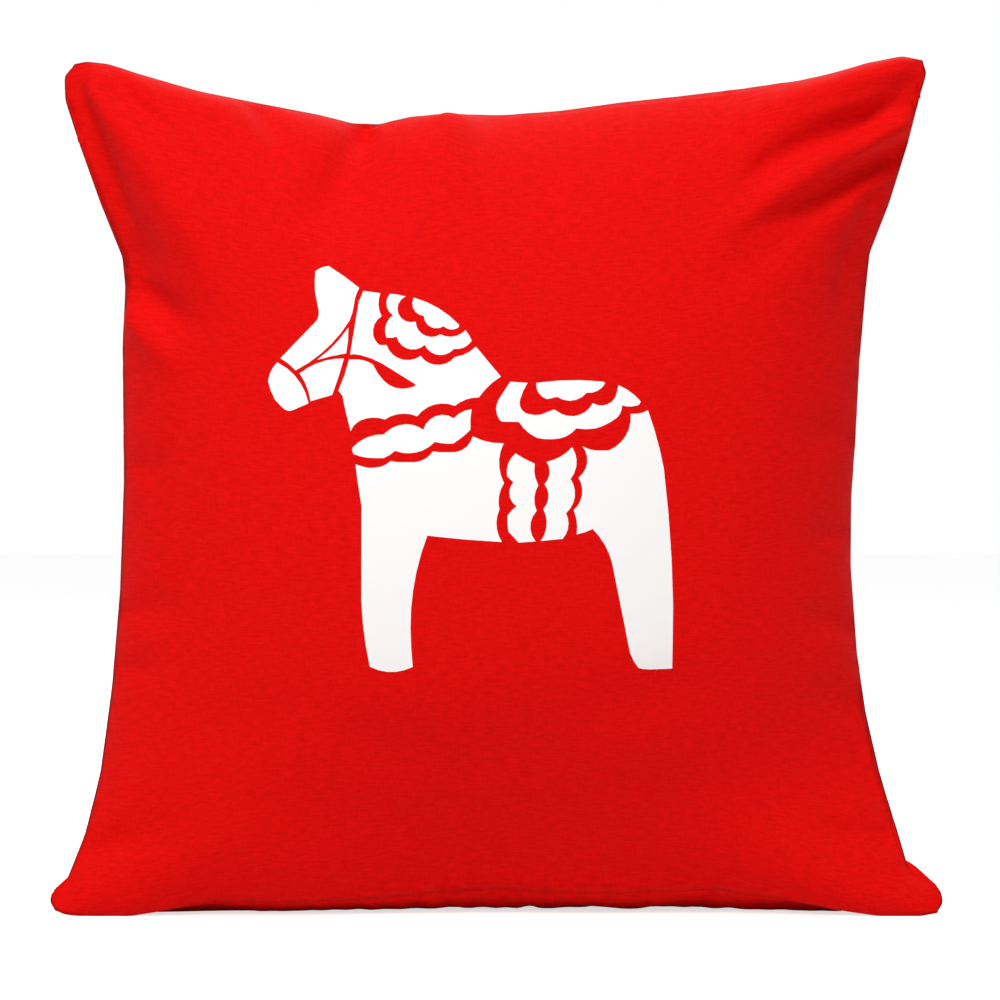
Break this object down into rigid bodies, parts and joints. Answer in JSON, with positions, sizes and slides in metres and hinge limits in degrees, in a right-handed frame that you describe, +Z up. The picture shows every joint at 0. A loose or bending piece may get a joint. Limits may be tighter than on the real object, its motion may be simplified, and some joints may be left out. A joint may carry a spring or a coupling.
{
  "type": "scatter cushion",
  "caption": "Square filled scatter cushion standing upright, red cotton cover with a white printed folk horse and a coil zip across the back.",
  "frame": {"origin": "on the floor, under the middle of the whole cushion", "axes": "+X to the right seen from the printed front, +Y to the back with the zip, +Z up"},
  "size_m": [0.44, 0.166, 0.428],
  "materials": {
    "cover": "plain woven cotton, dyed bright red, with faint slubs",
    "print": "opaque white textile ink that follows the weave",
    "thread": "spun polyester sewing thread, red",
    "tape": "twill woven zip tape, red",
    "coil": "nylon monofilament coil, red",
    "metal": "nickel plated zinc, lightly satin",
    "insert": "undyed non-woven insert case",
    "filling": "loose polyester fibre"
  },
  "bodies": {
    "cushion": {"front_panel": "cover", "back_panel_lower": "cover", "back_panel_upper": "cover", "overlock_thread": "thread", "insert_case_front": "insert", "insert_case_back": "insert", "fibre_filling": "filling", "zip_tape_upper": "tape", "zip_tape_lower": "tape", "zip_coil_upper": "coil", "zip_coil_lower": "coil", "zip_top_stop_upper": "metal", "zip_top_stop_lower": "metal", "zip_bottom_stop": "metal", "zip_topstitch_upper": "thread", "zip_topstitch_lower": "thread", "zip_bar_tack_left": "thread", "zip_bar_tack_right": "thread", "print_muzzle": "print", "print_forehead": "print", "print_cheek": "print", "print_jaw": "print", "print_neck": "print", "print_mane_band": "print", "print_mane_lobe": "print", "print_chest_band": "print", "print_foreleg": "print", "print_saddle_top": "print", "print_saddle_band": "print", "print_hind_leg": "print", "print_girth_left": "print", "print_girth_right": "print"},
    "slider": {"zip_slider": "metal"},
    "pull": {"zip_pull": "metal"}
  },
  "joints": [
    {"name": "slider_travel", "type": "hinge", "parent": "cushion", "child": "slider", "pos_m": [0, -0.25917, 0.15], "axis": [0, 0, 1], "range_deg": [0, 46.9]},
    {"name": "pull_flip", "type": "hinge", "parent": "slider", "child": "pull", "pos_m": [0.13227, 0.04569, 0.14894], "axis": [-0.083, -0.1912, -0.978], "range_deg": [0, 170]}
  ]
}
